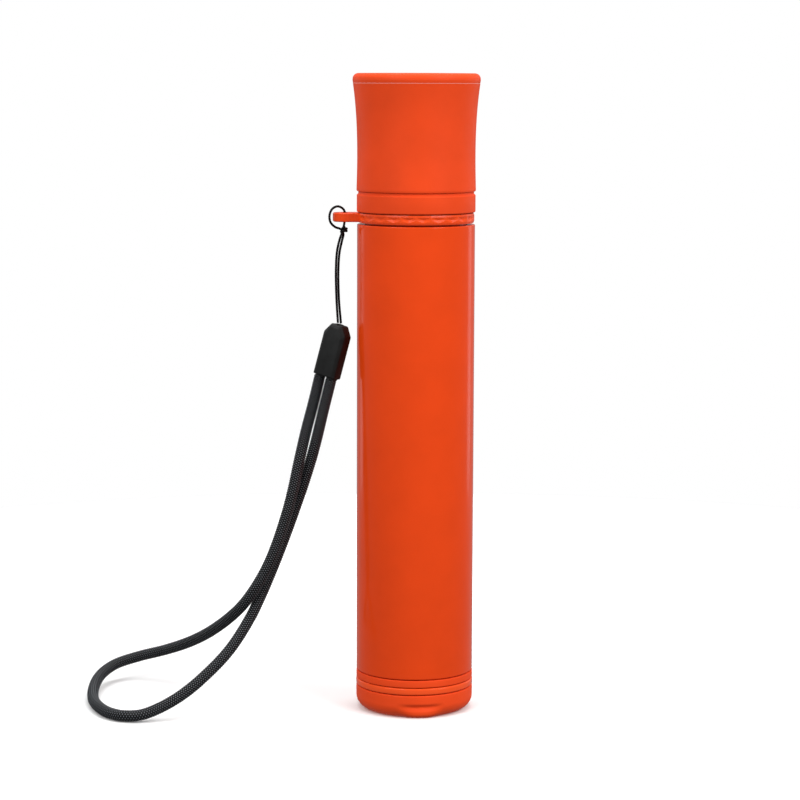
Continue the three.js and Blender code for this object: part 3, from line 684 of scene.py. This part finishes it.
def make_plug():
    """The threaded plug, with a right-hand thread of three turns that runs out at both ends."""
    plug_r, root_r, bore = radius("base_plug"), radius("base_plug") - 0.8, PLUG_BORE_R
    low, top, groove, pitch = low_z("base_plug"), high_z("base_plug"), 16.6, 3.0
    thread_low, thread_high = 18.9, 28.2

    def outer_radius(z, angle):
        if abs(z - groove) < 1.1:
            return root_r - 0.6
        if z < thread_low:
            return plug_r
        phase = ((z - pitch * angle / (2 * math.pi) - thread_low) / pitch) % 1.0
        ridge = eased((0.5 - abs(phase - 0.5)) / 0.22 - 0.45)
        fade = eased((z - thread_low) / 0.8) * eased((thread_high - z) / 0.8)
        return root_r + (plug_r - root_r) * ridge * fade

    heights = np.concatenate([np.linspace(low, groove - 1.11, 6),
                              np.linspace(groove - 1.09, groove + 1.09, 4),
                              np.linspace(groove + 1.11, thread_low, 4),
                              np.linspace(thread_low, top, 84)[1:]])
    rings = []
    segments = 120
    for i in range(segments):
        angle = 2 * math.pi * i / segments
        outline = [(0.0, low)]
        outline += [(outer_radius(z, angle), z) for z in heights]
        outline += [(bore, top), (bore, 6.0), (0.0, 6.0)]
        rings.append([(r * math.cos(angle), r * math.sin(angle), z) for r, z in outline])
    mesh = surface_grid("screw_plug", rings, False, poles=True)
    return finished("screw_plug", mesh, "base", "grey_nylon", NYLON, ["base_plug"])


def make_o_ring(name, node, body, centre_r, wire):
    z = (low_z(node) + high_z(node)) / 2
    outline = [(centre_r + wire * math.cos(a), z + wire * math.sin(a))
               for a in np.linspace(0, 2 * math.pi, 20, endpoint=False)]
    turned(name, outline, body, "seal_rubber", RUBBER, [node])


# ---- canister ----------------------------------------------------------------------------------
NECK_SEAL_WIRE = 0.9


def make_tube():
    low, high = low_z("body_tube"), high_z("body_tube")
    turned("tube", [(BORE_R, low), (BODY_R, low, 0.45), (BODY_R, high, 0.3), (BORE_R, high, 0.2)],
           "canister", "orange_gloss", GLOSS, ["body_tube"], segments=256)


def make_neck():
    low, high = low_z("neck_sleeve"), high_z("neck_sleeve")
    outline = [(NECK_BORE_R, low), (NECK_R, low, 0.3)]
    for node in ("neck_o_ring_lower", "neck_o_ring_upper"):
        z = (low_z(node) + high_z(node)) / 2
        root = radius(node) - 2 * NECK_SEAL_WIRE - 0.3
        outline += [(NECK_R, z - 1.15, 0.12), (root, z - 1.15), (root, z + 1.15), (NECK_R, z + 1.15, 0.12)]
    outline += [(NECK_R, high - 2.5, 0.8), (NECK_R - 0.9, high, 0.4), (NECK_BORE_R, high, 0.5)]
    turned("neck", outline, "canister", "orange_gloss", GLOSS, ["neck_sleeve"])
    make_o_ring("neck_seal_lower", "neck_o_ring_lower", "canister", NECK_R - 0.4, NECK_SEAL_WIRE)
    make_o_ring("neck_seal_upper", "neck_o_ring_upper", "canister", NECK_R - 0.4, NECK_SEAL_WIRE)


def make_folded_tube():
    """The inflatable tube, laid flat and rolled into a tight bundle of doubled coated fabric."""
    lowest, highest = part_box("rescue_bladder")
    centre = (lowest + highest) / 2 / MM
    low, high = lowest.z / MM + 0.2, highest.z / MM - 0.3
    outer_r = (highest.x - lowest.x) / 2 / MM - 0.35
    inner_r, pitch, thick = 2.0, 0.98, 0.62
    turns = (outer_r - inner_r) / pitch
    steps = 640
    levels = 9
    roll = []
    for i in range(steps + 1):
        share = i / steps
        r = math.sqrt(inner_r ** 2 + share * (outer_r ** 2 - inner_r ** 2))
        angle = 2 * math.pi * turns * (r - inner_r) / (outer_r - inner_r) + 0.7
        lift = 0.7 * math.sin(angle * 1.7 + 0.4 * r) * (0.4 + 0.6 * r / outer_r) - 0.7
        roll.append((r, angle, lift, share))
    rings = []
    for r, angle, lift, share in roll:
        ring = []
        for side, order in ((1, range(levels)), (-1, reversed(range(levels)))):
            for k in order:
                height = k / (levels - 1)
                bulge = 0.1 * math.sin(9 * height + 3 * angle)
                radial = r + side * thick / 2 + bulge
                corner = max(0.0, radial - outer_r + 3.2) if height > 0.99 else 0.0
                z = low + (high - low + min(0.0, lift)) * height - corner * 0.8
                ring.append((centre.x + radial * math.cos(angle), centre.y + radial * math.sin(angle), z))
        rings.append(ring)
    mesh = strip_mesh("folded_tube", rings)
    piece = finished("folded_tube", mesh, "canister", "rescue_fabric", FABRIC, ["rescue_bladder"])


def strip_mesh(name, rings):
    """A long closed strip: rings of points joined one to the next, with a face over each end."""
    mesh = bmesh.new()
    uv = mesh.loops.layers.uv.new("UVMap")
    rows = [[mesh.verts.new(Vector(p) * MM) for p in ring] for ring in rings]
    count = len(rows[0])
    for i, (here, ahead) in enumerate(zip(rows, rows[1:])):
        for k in range(count):
            up = (k + 1) % count
            face = mesh.faces.new([here[k], ahead[k], ahead[up], here[up]])
            for loop, (along, across) in zip(face.loops, ((i, k), (i + 1, k), (i + 1, k + 1), (i, k + 1))):
                loop[uv].uv = (along / len(rows), across / count * 0.2)
    mesh.faces.new(rows[0])
    mesh.faces.new(reversed(rows[-1]))
    bmesh.ops.recalc_face_normals(mesh, faces=mesh.faces)
    data = bpy.data.meshes.new(name)
    mesh.to_mesh(data)
    mesh.free()
    return data


def make_mouth_valve():
    """The mouth inflation tube with its ribbed red cap."""
    lowest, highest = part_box("oral_valve_cap")
    centre = tuple(((lowest + highest) / 2 / MM)[:2])
    low, top = lowest.z / MM, highest.z / MM

    def ribbed(r, z, angle):
        ribs = 0.14 * (0.5 + 0.5 * math.cos(18 * angle))
        return (r - ribs, z) if r > 4.0 and z < top - 1 else (r, z)

    turned("valve_cap", [(0, top - 1.6), (3.1, top - 1.6), (3.1, low), (4.1, low, 0.2), (4.1, top, 0.8),
                         (0, top)],
           "canister", "red_plastic", RED, ["oral_valve_cap"], centre=centre, shape=ribbed)
    low, top = low_z("oral_tube"), high_z("oral_tube")
    turned("valve_stem", [(1.8, low), (2.8, low, 0.1), (2.8, top, 0.3), (1.8, top, 0.3)],
           "canister", "black_plastic", BLACK, ["oral_tube"], centre=centre, segments=64)


def make_pull():
    """The pull: a red knob with finger grooves, on a twisted cord."""
    lowest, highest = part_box("pull_knob")
    centre = tuple(((lowest + highest) / 2 / MM)[:2])
    low, top = lowest.z / MM, highest.z / MM
    outline = [(0, low), (2.2, low, 0.4), (2.5, low + 2.0, 0.6), (3.35, low + 3.4, 0.5),
               (2.9, low + 4.4, 0.4), (3.35, low + 5.4, 0.5), (3.2, top, 1.6), (0, top)]
    turned("pull_handle", outline, "pull", "red_plastic", RED, ["pull_knob"], centre=centre, segments=96)
    foot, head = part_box("pull_cord")
    x, knob_x = (foot.x / MM + 0.8), centre[0]
    bottom, end = foot.z / MM, head.z / MM
    route = [(x, 0, bottom), (x, 0, 130), (x, 0, 150), (x, 0, 170), (x, 0, 183), (x + 0.5, 0, 187),
             (knob_x, 0, end)]
    points = smooth_route(route, 0.3)

    def pull_radius(distance, angle):
        return twisted_radius(distance, angle) * 0.8 / STRING_R

    mesh = tube_along("pull_line", points, 18, pull_radius)
    finished("pull_line", mesh, "pull", "black_cord", STRING_YARN, ["pull_cord"])


def make_cartridge():
    low, top = low_z("co2_cartridge"), high_z("co2_cartridge")
    body_r, neck_r = radius("co2_cartridge"), 4.7
    shoulder = top - 13
    dome = [(body_r * math.sin(a), low + body_r * (1 - math.cos(a)))
            for a in np.linspace(0, math.pi / 2, 14)]
    outline = [*dome, (body_r, shoulder - 11, 3.0), (body_r - 3.2, shoulder - 3.5, 3.0),
               (neck_r, shoulder, 0.8), (neck_r, top, 0.5), (1.7, top, 0.2), (1.7, top - 5), (0, top - 5)]
    turned("gas_cartridge", outline, "canister", "steel", STEEL, ["co2_cartridge"])


# ---- cap ---------------------------------------------------------------------------------------
WAIST_R = 20.1
WAIST_Z = 190.0
FLARE_TOP = 215.5
SHELL_CEILING = 212.6


def sleeve_radius(z):
    """The sleeve flares like a horn from its waist up to the rim."""
    flare = max(0.0, z - WAIST_Z) / (FLARE_TOP - WAIST_Z)
    foot = min(1.0, max(0.0, WAIST_Z - z) / 11.0)
    return WAIST_R + 1.5 * flare ** 2.4 + 0.24 * foot ** 1.5


def make_cap():
    low, high = low_z("cap_grip_sleeve"), high_z("cap_grip_sleeve")
    outside = [(sleeve_radius(z), z) for z in np.linspace(low + 0.5, high, 60)]
    foot_r = outside[0][0]
    turned("grip_sleeve", [(CAP_SKIN_BORE_R, low), (foot_r - 0.4, low), (foot_r - 0.12, low + 0.15),
                           *outside, (CAP_SKIN_BORE_R, high)],
           "cap", "orange_soft", SOFT, ["cap_grip_sleeve"], segments=256)
    low, high = low_z("cap_skirt_band"), high_z("cap_skirt_band")
    band_r = radius("cap_skirt_band")
    turned("skirt_band", [(CAP_SKIN_BORE_R, low), (band_r, low, 0.4), (band_r, high - 0.9, 0.3),
                          (band_r - 0.5, high - 0.5, 0.2), (band_r - 0.5, high + 0.2),
                          (CAP_SKIN_BORE_R, high + 0.2)],
           "cap", "orange_soft", SOFT, ["cap_skirt_band"], segments=256)
    rim_low, rim_r = high_z("cap_grip_sleeve") + HAIRLINE, radius("cap_end_disc")
    turned("end_disc", [(0, rim_low), (sleeve_radius(FLARE_TOP) - 0.05, rim_low, 0.05),
                        (rim_r, rim_low + 1.0, 1.0),
                        (rim_r - 0.15, HEIGHT - 0.05, 1.9), (14.0, HEIGHT), (0, HEIGHT)],
           "cap", "orange_soft", SOFT, ["cap_end_disc"], segments=256)
    low, top = low_z("cap_shell"), high_z("cap_shell")
    turned("inner_shell", [(0, SHELL_CEILING), (CAP_BORE_R, SHELL_CEILING, 0.5), (CAP_BORE_R, low, 0.4),
                           (CAP_SHELL_R, low, 0.2), (CAP_SHELL_R, top), (0, top)],
           "cap", "orange_gloss", GLOSS, ["cap_shell"])
    low, top = low_z("cap_liner_seal"), high_z("cap_liner_seal")
    liner_r = radius("cap_liner_seal")
    turned("liner", [(0, low), (12.5, low, 0.3), (13.0, low + 0.4, 0.3), (14.0, low + 0.4, 0.3),
                     (14.5, low, 0.3), (liner_r, low, 0.4), (liner_r, top, 0.2), (0, top)],
           "cap", "seal_rubber", RUBBER, ["cap_liner_seal"])


# ---- kept CAD nodes ----------------------------------------------------------------------------
KEPT = {
    "lanyard_ring": (0.14, RING, "orange_gloss"),
    "inflator_body": (0.3, NYLON, "grey_nylon"),
    "cartridge_seal": (0.15, RUBBER, "seal_rubber"),
    "cartridge_cradle": (0.3, RUBBER, "seal_rubber"),
    "firing_lever": (0.2, STEEL, "steel"),
    "lever_pivot_pin": (0.15, STEEL, "steel"),
    "piercing_pin": (0.08, BRASS, "brass"),
    "pin_spring": (0.05, STEEL, "steel"),
    "pull_toggle": (0.2, BLACK, "black_plastic"),
    "bulkhead_disc": (0.3, NYLON, "grey_nylon"),
    "bladder_inlet": (0.15, BRASS, "brass"),
}


SPRING_SEAT = Vector((0.0, 0.0, 100.1))


def squash_spring():
    """The pin's spring stands on the inflator. Here it gets a mesh of its own; its height above the seat is
    worked out but not used, so it is not pressed shorter.
    """
    tall = high_z("pin_spring") - SPRING_SEAT.z
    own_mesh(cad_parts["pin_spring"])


# ---- room and light ----------------------------------------------------------------------------
FLOOR_R = 0.45
ROOM_LOW = 0.42
ROOM_HIGH = 0.62


def make_floor():
    """A round white table that throws no light back. Beyond its edge the white room goes on."""
    rim = [(FLOOR_R * math.cos(a), FLOOR_R * math.sin(a), 0)
           for a in np.linspace(0, 2 * math.pi, 96, endpoint=False)]
    mesh = bpy.data.meshes.new("floor")
    mesh.from_pydata(rim, [], [tuple(range(len(rim)))])
    floor = bpy.data.objects.new("floor", mesh)
    bpy.context.scene.collection.objects.link(floor)
    look = Look("floor_white", Roughness=0.8, Specular_IOR_Level=0.1, Base_Color=(0.93, 0.93, 0.93, 1.0))
    mesh.materials.append(look.material)
    floor.visible_diffuse = False
    floor.visible_glossy = False


def area_light(name, place, target, size, power):
    data = bpy.data.lights.new(name, "AREA")
    data.shape = "RECTANGLE"
    data.size, data.size_y = size
    data.energy = power
    lamp = bpy.data.objects.new(name, data)
    bpy.context.scene.collection.objects.link(lamp)
    lamp.location = place
    lamp.rotation_mode = "QUATERNION"
    lamp.rotation_quaternion = (Vector(target) - Vector(place)).to_track_quat("-Z", "Y")
    lamp.visible_camera = False


def make_room():
    """White where it is seen. As a light it is white overhead and grey below the table's edge."""
    world = bpy.data.worlds.new("room")
    bpy.context.scene.world = world
    world.use_nodes = True
    nodes, links = world.node_tree.nodes, world.node_tree.links
    seen, cast = nodes["Background"], nodes.new("ShaderNodeBackground")
    seen.inputs["Color"].default_value = (1, 1, 1, 1)
    place, split = nodes.new("ShaderNodeTexCoord"), nodes.new("ShaderNodeSeparateXYZ")
    height = nodes.new("ShaderNodeMapRange")
    height.interpolation_type = "SMOOTHSTEP"
    height.inputs["From Min"].default_value = -0.1
    height.inputs["From Max"].default_value = 0.5
    height.inputs["To Min"].default_value = ROOM_LOW
    height.inputs["To Max"].default_value = ROOM_HIGH
    links.new(place.outputs["Generated"], split.inputs["Vector"])
    links.new(split.outputs["Z"], height.inputs["Value"])
    links.new(height.outputs["Result"], cast.inputs["Strength"])
    path, mix = nodes.new("ShaderNodeLightPath"), nodes.new("ShaderNodeMixShader")
    links.new(path.outputs["Is Camera Ray"], mix.inputs["Fac"])
    links.new(cast.outputs["Background"], mix.inputs[1])
    links.new(seen.outputs["Background"], mix.inputs[2])
    links.new(mix.outputs["Shader"], nodes["World Output"].inputs["Surface"])


def make_lights():
    middle = (0, 0, 0.11)
    area_light("key_box", (1.44, -1.08, 1.44), middle, (1.26, 1.26), 34)
    area_light("fill_box", (-1.15, -1.3, 1.44), middle, (1.26, 1.26), 23)
    area_light("top_box", (0.0, 0.25, 1.2), middle, (1.0, 1.0), 9.0)
    area_light("right_edge", (0.5, 0.42, 0.25), middle, (0.16, 0.6), 0.3)
    area_light("left_edge", (-0.5, 0.42, 0.25), middle, (0.16, 0.6), 0.2)


# ---- making ------------------------------------------------------------------------------------
make_camera()
make_lanyard()
make_foot()
make_base_rings()
make_plug()
make_o_ring("plug_seal", "base_o_ring", "base_seal", radius("base_o_ring") - BASE_SEAL_WIRE, BASE_SEAL_WIRE)
make_tube()
make_neck()
make_folded_tube()
make_mouth_valve()
make_pull()
make_cartridge()
make_cap()
for kept_node, (edge_width, kept_material, kept_slot) in KEPT.items():
    bevelled(kept_node, edge_width, kept_material, kept_slot)
squash_spring()
make_floor()
make_room()
make_lights()
bpy.context.scene.view_settings.view_transform = "Standard"
